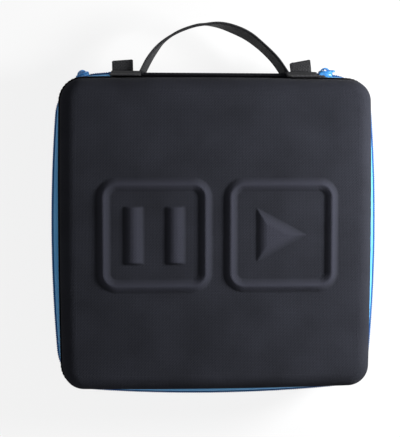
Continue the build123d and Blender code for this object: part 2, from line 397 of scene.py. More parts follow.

# %% [markdown]
# ## Cloth: ballistic polyester on the shells
# The shells are moulded foam with a woven polyester laminated on. The cloth is a coarse plain weave of
# matt black yarn. Its yarns are about 0.8 mm wide; they are drawn 1.3 mm wide so that they still show.
# Two sets of rounded threads are made with sine waves, and a checker picks which one lies on top. An image
# would do as well, but waves stay sharp at any distance. The other cloths are the same weave, each with the
# thread width, depth and colours of its own yarn. None of the black ones has much gloss, because matt yarn
# stays dark even seen along the wall in a white room. The lid's ridges are painted a bit paler: a painted
# sheen that stands in for the gleam of light on their flanks.

# %% Woven cloth
CLOUD_SIZE = 40 * MM
FUZZ_SIZE = 0.6 * MM
FUZZ_SHARE = 0.35
CLOUD_SHARE = 0.5
CLOUD_FLOOR = -0.05
WEAVE_STRENGTH = 0.7


def weave_height(tree, pitch):
    """Height of a plain weave of the given thread width, from the piece's UV map in metres."""
    uv = add(tree, "ShaderNodeUVMap", {"uv_map": "UVMap"}).outputs[0]
    scaled = add(tree, "ShaderNodeVectorMath", {"operation": "SCALE"}, _0=uv, Scale=1 / pitch).outputs[0]
    parts = add(tree, "ShaderNodeSeparateXYZ", _0=scaled)
    threads = []
    for axis in (0, 1):
        turn = add(tree, "ShaderNodeMath", {"operation": "MULTIPLY"}, _0=parts.outputs[axis], _1=math.pi)
        wave = add(tree, "ShaderNodeMath", {"operation": "SINE"}, _0=turn.outputs[0])
        threads.append(add(tree, "ShaderNodeMath", {"operation": "ABSOLUTE"}, _0=wave.outputs[0]).outputs[0])
    over = add(tree, "ShaderNodeTexChecker", _0=scaled, _1=(1, 1, 1, 1), _2=(0, 0, 0, 1), _3=1.0)
    return add(tree, "ShaderNodeMix", {"data_type": "FLOAT"}, _0=over.outputs["Fac"],
               _2=threads[0], _3=threads[1]).outputs[0]


def woven(name, base, pale, pitch, depth, rough, **settings):
    """Cloth whose threads are paler on top than in the gaps between them, more so in some places."""
    material, tree, shader = new_material(name, base, rough, **settings)
    height = weave_height(tree, pitch)
    place = add(tree, "ShaderNodeTexCoord").outputs["Object"]
    cloud = add(tree, "ShaderNodeTexNoise", Vector=place, Scale=1 / CLOUD_SIZE, Detail=3.0)
    fuzz = add(tree, "ShaderNodeTexNoise", Vector=place, Scale=1 / FUZZ_SIZE, Detail=2.0)
    cloudy = add(tree, "ShaderNodeMath", {"operation": "MULTIPLY_ADD"},
                 _0=cloud.outputs[0], _1=CLOUD_SHARE, _2=CLOUD_FLOOR)
    lifted = add(tree, "ShaderNodeMath", {"operation": "MULTIPLY"}, _0=height, _1=cloudy.outputs[0])
    colour = add(tree, "ShaderNodeMix", {"data_type": "RGBA"}, _0=lifted.outputs[0],
                 _6=linear(base), _7=linear(pale))
    tree.links.new(colour.outputs[2], shader.inputs["Base Color"])
    grain = add(tree, "ShaderNodeMath", {"operation": "MULTIPLY_ADD"},
                _0=fuzz.outputs[0], _1=FUZZ_SHARE, _2=height)
    bump = add(tree, "ShaderNodeBump", Strength=WEAVE_STRENGTH, Distance=depth, Height=grain.outputs[0])
    tree.links.new(bump.outputs[0], shader.inputs["Normal"])
    return material


def paint_ridge_sheen(material, pale):
    """Painted sheen: paler cloth where the piece's rise attribute says that it is moulded up, standing in for
    the gleam of light on the raised flanks.
    """
    tree = material.node_tree
    socket = tree.nodes["Principled BSDF"].inputs["Base Color"]
    rise = add(tree, "ShaderNodeAttribute", {"attribute_name": "rise"})
    sheened = add(tree, "ShaderNodeMix", {"data_type": "RGBA"}, _0=rise.outputs["Fac"],
               _6=socket.links[0].from_socket, _7=linear(pale))
    tree.links.new(sheened.outputs[2], socket)


# %% The cloths of the case
SHELL_CLOTH = woven("ballistic_polyester", "#25262b", "#4a4c57", 1.3 * MM, 0.22 * MM, 0.6,
                    Specular_IOR_Level=0.0, Sheen_Weight=0.04, Sheen_Roughness=0.35)
# Painted sheen: the lid's ridges are painted paler towards this colour, fully so on their crests.
paint_ridge_sheen(SHELL_CLOTH, "#393a43")
BINDING_CLOTH = woven("ribbed_binding", "#101012", "#1e1e21", 0.9 * MM, 0.2 * MM, 0.9,
                      Specular_IOR_Level=0.0)
HINGE_CLOTH = woven("hinge_polyester", "#1b1b1e", "#303137", 1.0 * MM, 0.2 * MM, 0.85,
                    Specular_IOR_Level=0.02)
LINING_CLOTH = woven("brushed_tricot", "#1d1d20", "#303034", 0.7 * MM, 0.1 * MM, 0.95,
                     Specular_IOR_Level=0.1, Sheen_Weight=0.1)
WEBBING_CLOTH = woven("polypropylene_webbing", "#1a1a1c", "#3d3e43", 1.6 * MM, 0.35 * MM, 0.6,
                      Specular_IOR_Level=0.2)
ELASTIC_CLOTH = woven("braided_elastic", "#1a1a1d", "#38383e", 1.2 * MM, 0.25 * MM, 0.8,
                      Specular_IOR_Level=0.1)
TAPE_CLOTH = woven("woven_zip_tape", "#4ea6e6", "#93d6fb", 0.8 * MM, 0.12 * MM, 0.5,
                   Specular_IOR_Level=0.3)
print("cloths", len(bpy.data.materials))

# %% [markdown]
# ## The embossed lid face
# The mould raises two rounded-square rings, a pause symbol and a play symbol out of the lid. A height is
# worked out at each point of the face from its distance to these shapes, so the cloth runs over them in
# one piece, which a displaced or sculpted face would do less exactly. The rings are ridges with a tight
# crest, the two bars are half-round, and the triangle has rounded slopes and a small flat middle.

# %% Emboss heights
RING_SIZE = 106.6 * MM
RING_BEAD = 12.6 * MM
RING_RADIUS = 18.5 * MM
RING_SPACING = 117.3 * MM
RING_FULLNESS = 1.25
BEAD_HEIGHT = 3.9 * MM
BAR_SIZE = (18.2 * MM, 54.6 * MM)
BAR_SPACING = 38.2 * MM
BAR_END = 2.2 * MM
BAR_FULLNESS = 2.0
TRIANGLE = (47.5 * MM, 51 * MM)
TRIANGLE_SHIFT = 0.6 * MM
TRIANGLE_SLOPE = 10 * MM
TRIANGLE_FULLNESS = 1.8
SYMBOL_SHIFT = (-0.1 * MM, 0.6 * MM)


def box_distance(x, y, half_x, half_y, radius):
    """Distance to a rounded rectangle, negative inside."""
    dx, dy = abs(x) - half_x + radius, abs(y) - half_y + radius
    return math.hypot(max(dx, 0), max(dy, 0)) + min(max(dx, dy), 0) - radius


def ease(t):
    t = min(max(t, 0.0), 1.0)
    return t * t * (3 - 2 * t)


def ridge(share, fullness):
    """Rise from a foot, where share is 0, to a crest, where it is 1; fullness 1 is a tent and 2 a dome."""
    return 1 - (1 - min(max(share, 0.0), 1.0)) ** fullness


def ring_height(x, y):
    half = RING_SIZE / 2 - RING_BEAD / 2
    away = abs(box_distance(x, y, half, half, RING_RADIUS - RING_BEAD / 2)) / (RING_BEAD / 2)
    return BEAD_HEIGHT * ridge(1 - away, RING_FULLNESS)


def bar_height(x, y):
    across = 1 - abs(x) / (BAR_SIZE[0] / 2)
    end = (BAR_SIZE[1] / 2 - abs(y)) / BAR_END
    return BEAD_HEIGHT * ridge(across, BAR_FULLNESS) * ease(end)


def triangle_height(x, y):
    """Height from the distance to the nearest side; the tip points along +X."""
    length, height = TRIANGLE
    slant = math.hypot(length, height / 2)
    left = x + length / 2
    side = ((length / 2 - x) * height / 2 - abs(y) * length) / slant
    depth = min(left, side)
    return BEAD_HEIGHT * ridge(depth / TRIANGLE_SLOPE, TRIANGLE_FULLNESS)


def emboss(x, y):
    """How far the mould lifts a point of the lid's face."""
    x, y = x - SYMBOL_SHIFT[0], y - SYMBOL_SHIFT[1]
    left, right = x + RING_SPACING / 2, x - RING_SPACING / 2
    ring = ring_height(left if x < 0 else right, y)
    if x < 0:
        return max(ring, bar_height(abs(left) - BAR_SPACING / 2, y))
    return max(ring, triangle_height(right - TRIANGLE_SHIFT, y))


print("ring ridge", emboss(-RING_SPACING / 2 - RING_SIZE / 2 + RING_BEAD / 2, 0))

# %% [markdown]
# ## The two shells
# Each shell is a shallow pan: a drafted wall, a rolled edge and a flat face. The wall and the roll are
# loops of the outline, each one inset further. The face is filled with a net of triangles, which is fine
# on the lid, so that the raised symbols have smooth flanks. The inside of the pan is made of the same loops,
# one wall in, and a single flat face.

# %% The pan's profile
ROLL_STEPS = 12
WALL_STEP = 3 * MM


def pan_profile(inset):
    """(offset, height) pairs from the rim up the wall and round the roll, for a pan inset by a wall."""
    depth = SHELL_DEPTH - inset
    roll = SHELL_ROLL - inset
    centre_z = depth - roll
    centre_out = -inset - centre_z * math.tan(SHELL_DRAFT) - roll / math.cos(SHELL_DRAFT)
    return [(-inset, 0.0)] + [(centre_out + roll * math.cos(a), centre_z + roll * math.sin(a))
                              for a in spread(SHELL_DRAFT, math.pi / 2, ROLL_STEPS)]


def densify(pairs, step):
    """The same line of pairs with points about a step apart."""
    dense = [pairs[0]]
    for a, b in zip(pairs, pairs[1:]):
        count = max(1, round(math.dist(a, b) / step))
        dense += [(a[0] + (b[0] - a[0]) * i / count, a[1] + (b[1] - a[1]) * i / count)
                  for i in range(1, count + 1)]
    return dense


print("wall and roll", len(densify(pan_profile(0), WALL_STEP)), "loops")

# %% The face as a net of triangles
FACE_STEP = 8 * MM
FACE_CORNER = 14 * MM
FINE_STEP = 1 * MM
FINE_BOX = (118 * MM, 60 * MM)
# Points nearer to each other than this, in metres, count as one.
SAME_POINT = 1e-7


def face_points(border, fine_box):
    """Points inside the border: a coarse grid, and a fine one inside the fine box."""
    reach = max(p[0] for p in border)
    edge = reach - FACE_STEP / 2
    points = []
    for spacing, wanted in ((FACE_STEP, False), (FINE_STEP, True)):
        count = int(reach / spacing)
        for i in range(-count, count + 1):
            for j in range(-count, count + 1):
                x, y = i * spacing, j * spacing
                fine = abs(x) < fine_box[0] and abs(y) < fine_box[1]
                if fine == wanted and box_distance(x, y, edge, edge, FACE_CORNER) < 0:
                    points.append(Vector((x, y)))
    return points


def fill_face(border, height, extra):
    """Triangles over a face: the border stays first in the list, and height gives each point's z."""
    count = len(border)
    flat = [Vector((p[0], p[1])) for p in border] + extra
    edges = [(i, (i + 1) % count) for i in range(count)]
    verts, _, faces, origin, _, _ = delaunay_2d_cdt(flat, edges, [], 1, SAME_POINT)
    where = {}
    for new, olds in enumerate(origin):
        for old in olds:
            where[old] = new
    placed = [Vector((v[0], v[1], height(v[0], v[1]))) for v in verts]
    return placed, faces, [where[i] for i in range(count)]


# %% Shells
def make_shell(name, raised):
    """A closed pan; raised says whether its face carries the symbols."""
    rows = (loops(SHELL_FORM, pan_profile(SHELL_WALL))[::-1]
            + loops(SHELL_FORM, densify(pan_profile(0), WALL_STEP)))
    faces, uvs = strips(rows, closed=True)
    verts = [p for row in rows for p in row]
    count = len(rows[0])
    extra = face_points(rows[-1], FINE_BOX if raised else (0, 0))
    placed, triangles, ring = fill_face(
        rows[-1], lambda x, y: SHELL_DEPTH + (emboss(x, y) if raised else 0.0), extra)
    number = {new: len(verts) - count + i for i, new in enumerate(ring)}
    for i, v in enumerate(placed):
        if i not in number:
            number[i] = len(verts)
            verts.append(v)
    faces += [tuple(number[i] for i in f) for f in triangles]
    uvs += [[(placed[i][0], placed[i][1]) for i in f] for f in triangles]
    faces.append(tuple(range(count))[::-1])
    uvs.append([(verts[i][0], verts[i][1]) for i in range(count)][::-1])
    return finish_piece(name, verts, faces, uvs)


def mark_rise(piece):
    """Store how far the mould lifts each point, from 0 on the face to 1 on a crest; the painted sheen on the
    ridges follows it.
    """
    attribute = piece.data.attributes.new("rise", "FLOAT", "POINT")
    for i, v in enumerate(piece.data.vertices):
        attribute.data[i].value = min(max((v.co.z - LID_FACE) / BEAD_HEIGHT, 0.0), 1.0)


def seated(piece, side):
    """Put a pan that was made with its rim at zero on the lid's rim or, turned over, on the base's."""
    rim = LID_RIM if side > 0 else BASE_RIM
    for v in piece.data.vertices:
        v.co.z = rim + side * v.co.z
    return outward(piece)


for label, side, body in HALVES:
    shell = seated(make_shell(label + "_shell_skin", raised=side > 0), side)
    if side > 0:
        mark_rise(shell)
    dress(shell, body, SHELL_CLOTH, "shell_fabric", label + "_shell")

# %% [markdown]
# ## Bindings
# Where a shell meets the zip, a narrow woven binding is sewn round its rim. It is a thin band that lies on
# the drafted wall and has a rolled edge, so a small closed section is swept round the outline.

# %% Rim bindings
BINDING_OUTER = [(0.55, 0.0), (0.9, 0.3), (1.0, 1.2), (1.0, 3.2), (0.95, 5.0), (0.6, 5.8)]
BINDING_INNER = [(0.05, 6.0), (0.05, 3.0), (0.05, 0.2)]


def binding_section():
    """(offset, height) pairs: shares of the binding's thickness over a wall that leans in as it rises."""
    return [(BINDING_OUT * out - height * MM * math.tan(SHELL_DRAFT), height * MM)
            for out, height in BINDING_OUTER + BINDING_INNER]


for label, side, body in HALVES:
    rows = loops(SHELL_FORM, binding_section())
    band = seated(skin(label + "_binding_band", rows, closed=True, wrap=True), side)
    dress(band, body, BINDING_CLOTH, "binding_tape", label + "_rim_binding")

# %% [markdown]
# ## Zip tape
# The tape is sewn under the binding and carries the coil at its other edge. The zip is fuller than the
# shells, so the tape leaves the rim almost flat and then bends down to the coil: from above it reads as a
# bright blue strip that is widest in the middle of each side. It is open across the hinge, and its ends
# stop just beside the hinge fabric.

# %% Zip tapes
TAPE_STEPS = 10
TAPE_WALL = 1.2 * MM
TAPE_RIM = 0.5 * MM
TAPE_EDGE = -0.9 * MM
TAPE_END = SPINE_HALF + 0.5 * MM
TAPE_ROUND_OUT = 0.7
TAPE_ROUND_DOWN = 0.5
TAPE_ON_COIL = 0.8


def rim_height(side):
    return PARTING + side * (LID_RIM - PARTING)


def tape_rows(side, wall):
    """Rows from the rim to the coil; wall moves the skin inwards."""
    rim = outline(SHELL_FORM, TAPE_RIM - wall)
    chain = outline(CHAIN_FORM, TAPE_EDGE - wall)
    rim_z = rim_height(side)
    chain_z = PARTING + side * (COIL_PARTING + COIL_HEIGHT * TAPE_ON_COIL)
    rows = []
    for share in spread(0.0, 1.0, TAPE_STEPS):
        bend = share * math.pi / 2
        out = TAPE_ROUND_OUT * math.sin(bend) + (1 - TAPE_ROUND_OUT) * share
        down = TAPE_ROUND_DOWN * (1 - math.cos(bend)) + (1 - TAPE_ROUND_DOWN) * share
        z = rim_z + (chain_z - rim_z) * down
        rows.append(at_height([a.lerp(b, out) for a, b in zip(rim, chain)], z))
    return rows


def crossing(row, start, step, x):
    """Where a loop first reaches x, going on from a point in steps of one."""
    i = start
    while (row[i][0] - x) * (row[start][0] - x) > 0:
        i = (i + step) % len(row)
    a, b = row[(i - step) % len(row)], row[i]
    return a.lerp(b, (x - a[0]) / (b[0] - a[0]))


def cut_open(rows, half):
    """Loops without their back middle: each starts at -half, goes round the front and ends at half."""
    keep = [i for i in range(len(rows[0])) if all(row[i][1] < 0 or abs(row[i][0]) > half for row in rows)]
    gap = next(i for i in range(1, len(keep)) if keep[i] - keep[i - 1] > 1)
    order = keep[gap:] + keep[:gap]
    first, last = order[0], order[-1]
    return [[crossing(row, first, -1, -half)] + [row[i] for i in order] + [crossing(row, last, 1, half)]
            for row in rows]


for label, side, body in HALVES:
    rows = tape_rows(side, 0.0) + tape_rows(side, TAPE_WALL)[::-1]
    tape = close_ends(skin(label + "_zip_tape", cut_open(rows, TAPE_END), wrap=True))
    dress(tape, body, TAPE_CLOTH, "zip_tape", "zip_tape_" + label)

# %% [markdown]
# ## Zip coil
# The coil is a nylon thread wound into loops and sewn to the tape. From outside only the front of each loop
# shows, a short slanting bar, so each loop is one rounded tooth. Geometry Nodes space the teeth along the
# chain's line and turn each one square to it; an array along a curve could do this, but not lean each tooth.
# A plain core behind them fills the gaps. The same tree also lays the stitches further down, so its line,
# shape, pitch, lean and finish are its inputs.

# %% Geometry Nodes helpers
def new_node_tree(name, inputs):
    """A Geometry Nodes tree with named inputs, and the sockets that give their values."""
    tree = bpy.data.node_groups.new(name, "GeometryNodeTree")
    for label, kind in inputs.items():
        tree.interface.new_socket(label, in_out="INPUT", socket_type="NodeSocket" + kind)
    tree.interface.new_socket("Geometry", in_out="OUTPUT", socket_type="NodeSocketGeometry")
    return tree, add(tree, "NodeGroupInput").outputs


def end_tree(tree, geometry, finish):
    """Every tree ends alike: plain geometry, with no instances left, in one finish."""
    real = add(tree, "GeometryNodeRealizeInstances", Geometry=geometry)
    painted = add(tree, "GeometryNodeSetMaterial", Geometry=real.outputs[0], Material=finish)
    add(tree, "NodeGroupOutput", Geometry=painted.outputs[0])
    return tree


def run_tree(host, tree, **values):
    """Run a tree on a piece with its inputs set, and keep what it makes as the piece's own mesh."""
    modifier = host.modifiers.new(tree.name, "NODES")
    modifier.node_group = tree
    for item in tree.interface.items_tree:
        if item.in_out == "INPUT" and item.name in values:
            modifier[item.identifier] = values[item.name]
    bpy.context.view_layer.update()
    graph = bpy.context.evaluated_depsgraph_get()
    mesh = bpy.data.meshes.new_from_object(host.evaluated_get(graph), depsgraph=graph)
    host.modifiers.clear()
    host.data = mesh
    return host


# %% Repeats along a line
BAR_BEVEL = 0.42


def repeat_tree():
    tree, source = new_node_tree("repeat_along_line", {
        "Geometry": "Geometry", "Line": "Object", "Shape": "Object", "Pitch": "Float", "Up": "Vector",
        "Lean": "Rotation", "Finish": "Material"})
    line = add(tree, "GeometryNodeObjectInfo", Object=source["Line"])
    shape = add(tree, "GeometryNodeObjectInfo", Object=source["Shape"])
    curve = add(tree, "GeometryNodeMeshToCurve", Mesh=line.outputs["Geometry"])
    points = add(tree, "GeometryNodeCurveToPoints", {"mode": "LENGTH"},
                 Curve=curve.outputs["Curve"], Length=source["Pitch"])
    along = add(tree, "FunctionNodeAxesToRotation", {"primary_axis": "Z", "secondary_axis": "X"},
                Primary_Axis=source["Up"], Secondary_Axis=points.outputs["Tangent"])
    leaned = add(tree, "FunctionNodeRotateRotation", {"rotation_space": "LOCAL"},
                 Rotation=along.outputs[0], Rotate_By=source["Lean"])
    copies = add(tree, "GeometryNodeInstanceOnPoints", Points=points.outputs["Points"],
                 Instance=shape.outputs["Geometry"], Rotation=leaned.outputs[0])
    return end_tree(tree, copies.outputs[0], source["Finish"])


REPEAT = repeat_tree()
print(REPEAT.name, len(REPEAT.nodes), "nodes")


def line_object(lines):
    """A mesh of edges only; each line becomes one spline of the tree."""
    verts, edges = [], []
    for points in lines:
        start = len(verts)
        verts += [tuple(p) for p in points]
        edges += [(i, i + 1) for i in range(start, start + len(points) - 1)]
    mesh = bpy.data.meshes.new("line")
    mesh.from_pydata(verts, edges, [])
    return new_object("line", mesh)


def rounded_block(name, size, bevel, segments=1):
    mesh = bmesh.new()
    bmesh.ops.create_cube(mesh, size=1.0)
    bmesh.ops.scale(mesh, vec=size, verts=mesh.verts)
    bmesh.ops.bevel(mesh, geom=mesh.edges[:], offset=bevel, segments=segments, profile=0.5, affect="EDGES")
    return from_bmesh(name, mesh, smooth=True)


def repeated(name, lines, size, pitch, up, finish, lean=0.0):
    """Rounded bars of a size (along, across, up) at a pitch on each line, as one plain mesh."""
    line = line_object(lines)
    shape = rounded_block("shape", size, BAR_BEVEL * min(size))
    bars = run_tree(finish_piece(name, [], []), REPEAT, Line=line, Shape=shape, Pitch=pitch, Up=up,
                    Lean=(0.0, lean, 0.0), Finish=finish)
    for helper in (line, shape):
        bpy.data.objects.remove(helper)
    return bars


# %% Nylon
def mottled(name, base, dark, pale, rough, spot, cells=False, bump=None, **settings):
    """A finish that drifts from dark to pale over spots or cells; bump is a strength and a depth."""
    material, tree, shader = new_material(name, base, rough, **settings)
    place = add(tree, "ShaderNodeTexCoord").outputs["Object"]
    if cells:
        spots = add(tree, "ShaderNodeTexVoronoi", Vector=place, Scale=1 / spot).outputs["Distance"]
    else:
        spots = add(tree, "ShaderNodeTexNoise", Vector=place, Scale=1 / spot, Detail=2.0).outputs[0]
    colour = add(tree, "ShaderNodeMix", {"data_type": "RGBA"}, _0=spots, _6=linear(dark), _7=linear(pale))
    tree.links.new(colour.outputs[2], shader.inputs["Base Color"])
    if bump:
        relief = add(tree, "ShaderNodeBump", Strength=bump[0], Distance=bump[1], Height=spots)
        tree.links.new(relief.outputs[0], shader.inputs["Normal"])
    return material


# Blue polyamide monofilament is smooth and slightly clear, and darker than the tape's yarn.
NYLON = mottled("blue_nylon_monofilament", "#105090", "#0a4178", "#175f9f", 0.5, 2.5 * MM,
                Specular_IOR_Level=0.2)
print(NYLON.name, len(NYLON.node_tree.nodes), "nodes")

# %% Zip coils
TOOTH_PITCH = 2.1 * MM
TOOTH_SIZE = (1.25 * MM, 2.4 * MM, 2.7 * MM)
TOOTH_LEAN = math.radians(9)
CORE_OUT = 0.9 * MM
CORE_UP = 1.2 * MM
CORE_BACK = 0.2 * MM
CORE_SIDES = 8


def joined(name, pieces):
    """One mesh from several plain ones, with their UV maps."""
    mesh = bmesh.new()
    mesh.loops.layers.uv.new("UVMap")
    for piece in pieces:
        mesh.from_mesh(piece.data)
    for piece in pieces:
        bpy.data.objects.remove(piece)
    return from_bmesh(name, mesh)


def make_coil(name, side):
    """Teeth on the chain's line over a core with a round section."""
    middle = PARTING + side * (COIL_PARTING + COIL_HEIGHT / 2)
    line = cut_open(loops(CHAIN_FORM, [(0.0, middle)]), TAPE_END)
    teeth = repeated(name + "_teeth", line, TOOTH_SIZE, TOOTH_PITCH, (0, 0, 1), NYLON, side * TOOTH_LEAN)
    turns = [2 * math.pi * i / CORE_SIDES for i in range(CORE_SIDES)]
    section = [(CORE_OUT * math.cos(a) - CORE_BACK, middle + CORE_UP * math.sin(a)) for a in turns]
    core = skin(name + "_core", cut_open(loops(CHAIN_FORM, section), TAPE_END), wrap=True)
    return joined(name, [close_ends(core), teeth])


for label, side, body in HALVES:
    dress(make_coil(label + "_zip_coil", side), body, NYLON, "zip_coil", "zip_coil_" + label)

# %% [markdown]
# ## Hinge fabric
# At the back the zip stops and a strip of fabric joins the shells, like the spine of a book. Its middle is
# stiffened and bulges a little. Above and below it a thin fold is sewn over the bindings: each fold belongs
# half to a shell and half to the spine.
# All of these keep one section from end to end, so each is a profile drawn out along the hinge.

# %% Hinge fabric
SPINE_THICK = 2.0 * MM
SPINE_STEPS = 10
FOLD_THICK = 0.5 * MM
FOLD_REACH = 4.5 * MM
FOLD_LIFT = 0.9 * MM
FOLD_STEPS = 12
LINING_SHORT = 2 * MM


def upright(name, half_x, profile, steps=24):
    """A closed (y, z) profile drawn out along X from -half_x to half_x."""
    rows = [[Vector((x, y, z)) for x in spread(-half_x, half_x, steps)] for y, z in profile]
    return close_ends(skin(name, rows, wrap=True))


def spine_bulge(z):
    """How far the spine's face stands out at a height, on a parabola through its edges and crown."""
    share = (z - PARTING) / (LID_RIM - PARTING)
    return SPINE_FACE + (SPINE_CROWN - SPINE_FACE) * (1 - share ** 2)


def spine_profile():
    low, high = heights("hinge_spine")
    levels = spread(low, high, SPINE_STEPS)
    return [(spine_bulge(z), z) for z in levels] + [(SPINE_FACE - SPINE_THICK, z) for z in reversed(levels)]


def fold_profile(side):
    """A thin strip from the outside of a binding, over the rim, onto the spine."""
    rim = rim_height(side)
    outer = []
    for i in range(FOLD_STEPS + 1):
        z = rim + side * FOLD_REACH * (1 - 2 * i / FOLD_STEPS)
        on_spine = abs(z - PARTING) < abs(rim - PARTING)
        seat = spine_bulge(z) if on_spine else SHELL_HALF + BINDING_OUT
        lift = FOLD_LIFT * math.cos((z - rim) / FOLD_REACH * math.pi / 2)
        outer.append((seat + FOLD_THICK + lift, z))
    return outer + [(y - FOLD_THICK, z) for y, z in reversed(outer)]


dress(upright("hinge_spine_panel", SPINE_HALF, spine_profile()), "hinge", HINGE_CLOTH, "hinge_fabric",
      "hinge_spine")
low, high = corners("spine_lining")
lining = upright("spine_lining_panel", SPINE_HALF - LINING_SHORT,
                 [(low[1], low[2]), (high[1], low[2]), (high[1], high[2]), (low[1], high[2])])
dress(lining, "hinge", LINING_CLOTH, "lining_fabric", "spine_lining")
for label, side in (("lower", -1), ("upper", 1)):
    fold = upright(label + "_hinge_fold", SPINE_HALF, fold_profile(side))
    fold.data.materials.append(HINGE_CLOTH)
    if side < 0:
        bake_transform(fold)
    else:
        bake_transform(fold)
    print(fold.name, len(fold.data.polygons), "faces")

# %% [markdown]
# ## Webbing: patches, tabs and the handle
# All straps are woven polypropylene with thicker edges. A wide patch is sewn flat on the spine at each end
# and folds over the rim onto the lid. A short tab of doubled 20 mm webbing stands out of each patch, and the
# handle is one long piece of it that rises on edge, arches over and twists a little on its way. Its centre
# line is a smooth curve through listed points, and a flat section with rounded edges is carried along
# it, which a ribbon with a thickness modifier would not give.

# %% Webbing helpers
WEB_THICK = 2.4 * MM
SELVEDGE = 0.12
SELVEDGE_AT = 0.86
SELVEDGE_WIDTH = 0.08
EDGE_ROUND = 9
FLATTEN = 0.94


def smooth_line(points, steps):
    """A Catmull-Rom curve through the points."""
    padded = [2 * points[0] - points[1]] + points + [2 * points[-1] - points[-2]]
    result = []
    for a, b, c, d in zip(padded, padded[1:], padded[2:], padded[3:]):
        for i in range(steps):
            t = i / steps
            result.append(0.5 * (2 * b + (c - a) * t + (2 * a - 5 * b + 4 * c - d) * t ** 2
                                 + (3 * b - a - 3 * c + d) * t ** 3))
    return result + [points[-1]]


def directions(line):
    """Which way a line runs at each of its points."""
    last = len(line) - 1
    return [(line[min(i + 1, last)] - line[max(i - 1, 0)]).normalized() for i in range(last + 1)]


def web_section(width, thick, steps=14):
    """(across, out) pairs round a strap: flat faces with swollen selvedges and rounded edges."""
    pairs = []
    for side in (1, -1):
        for share in spread(-1.0, 1.0, steps):
            edge = min(1.0, (1 - abs(share)) * EDGE_ROUND)
            swell = 1 + SELVEDGE * math.exp(-((abs(share) - SELVEDGE_AT) / SELVEDGE_WIDTH) ** 2)
            pairs.append((side * share * width / 2, side * thick / 2 * math.sqrt(edge) * swell * FLATTEN))
    return pairs


def strap(name, line, across, out, width, thick):
    """A strap along a line, with its width and thickness directions at each point."""
    rows = [[p + w * a + n * o for p, w, n in zip(line, across, out)] for a, o in web_section(width, thick)]
    return close_ends(skin(name, rows, wrap=True))


print("strap section", len(web_section(WEBBING, WEB_THICK)), "points")

# %% Patches
PATCH_THICK = 1.5 * MM
PATCH_LIFT = 1.3 * MM
PATCH_GAP = 0.1 * MM
PATCH_STEPS = (14, 20)
PATCH_EDGE = (0.4, 0.3)
FLARE_FROM = 0.6
# How far each patch goes up the lid, widens at its top, and reaches past its solid towards the handle.
PATCHES = {"left": (13 * MM, -1.5 * MM, 4.5 * MM), "right": (23 * MM, 4.5 * MM, -3.5 * MM)}


def lid_wall(z):
    """How far out the lid's back wall stands at a height, up its draft and round its roll."""
    profile = pan_profile(0)
    for (out, low), (further, high) in zip(profile, profile[1:]):
        if z - LID_RIM <= high:
            share = max(0.0, (z - LID_RIM - low) / (high - low))
            return SHELL_HALF + out + (further - out) * share
    return SHELL_HALF + profile[-1][0]


def patch_seat(z):
    """The surface under a patch: the spine, then the fold over the rim, then the lid's binding and wall."""
    if z < LID_RIM - FOLD_REACH:
        return spine_bulge(z)
    over = min((z - LID_RIM + FOLD_REACH) / (2 * FOLD_REACH), 1.0)
    seat = spine_bulge(LID_RIM - FOLD_REACH) * (1 - over) + (lid_wall(z) + PATCH_LIFT) * over
    return seat + PATCH_LIFT * math.sin(math.pi * over)


def flat_patch(name, left, right, bottom, top, flare):
    """A patch sewn on the spine that folds over the rim; flare widens its upper end outwards."""
    columns, steps = PATCH_STEPS
    rows = []
    for face in (1, 0):
        for i in (range(steps + 1) if face else range(steps, -1, -1)):
            z = bottom + (top - bottom) * i / steps
            edge = min(1.0, PATCH_EDGE[0] + PATCH_EDGE[1] * min(i, steps - i))
            y = patch_seat(z) + PATCH_GAP + face * PATCH_THICK * edge
            shift = flare * max(0.0, i / steps - FLARE_FROM) / (1 - FLARE_FROM)
            a, b = left + min(shift, 0.0), right + max(shift, 0.0)
            rows.append([Vector((a + (b - a) * j / columns, y, z)) for j in range(columns + 1)])
    return close_ends(skin(name, rows, wrap=True))


for side, (reach, flare, inner) in PATCHES.items():
    low, high = corners("anchor_patch_" + side)
    left, right = low[0] + min(inner, 0.0), high[0] + max(inner, 0.0)
    patch = flat_patch(side + "_anchor_patch", left, right, low[2], LID_RIM + reach, flare)
    patch.data.materials.append(WEBBING_CLOTH)
    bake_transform(patch)
    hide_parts("anchor_patch_" + side)
    print(patch.name, len(patch.data.polygons), "faces")

# %% [markdown]
# A tab is one strip folded back on itself: two layers that lie on each other and open into a soft loop at
# the fold. Like the photographed tabs, each one leans and turns a little to the left on its way out.

# %% Tabs
TAB_LENGTH = 12.0 * MM
TAB_THICK = 1.35 * MM
TAB_LAYER = 0.95 * MM
TAB_OPENS = 0.35 * MM
TAB_LOOP = (1.92 * MM, 1.1 * MM)
TAB_STRAIGHT = TAB_LENGTH - 2.4 * MM
TAB_STEPS = 8
# How far each tab leans to the left, and the slope of its free end.
TABS = {"left": (-0.2 * MM, 0.08), "right": (-1.4 * MM, 0.2)}


def make_tab(name, low, high, lean, skew):
    """Folded strip: out along the upper layer, round the fold, and back along the lower one."""
    upper = [(TAB_STRAIGHT * i / TAB_STEPS, TAB_LAYER + TAB_OPENS * math.sin(math.pi * i / TAB_STEPS))
             for i in range(TAB_STEPS + 1)]
    turns = [math.pi / 2 - math.pi * i / TAB_STEPS for i in range(1, TAB_STEPS)]
    fold = [(TAB_STRAIGHT + TAB_LOOP[0] * math.cos(a), TAB_LOOP[1] * math.sin(a)) for a in turns]
    path = upper + fold + [(y, -z) for y, z in reversed(upper)]
    middle = (low[0] + high[0]) / 2
    line = [Vector((middle + lean * y / TAB_LENGTH, low[1] + y, PARTING + z)) for y, z in path]
    out = [Vector((0, -step[2], step[1])).normalized() for step in directions(line)]
    across = [Vector((1, skew * y / TAB_LENGTH, 0)) for y, _ in path]
    return strap(name, line, across, out, high[0] - low[0], TAB_THICK)


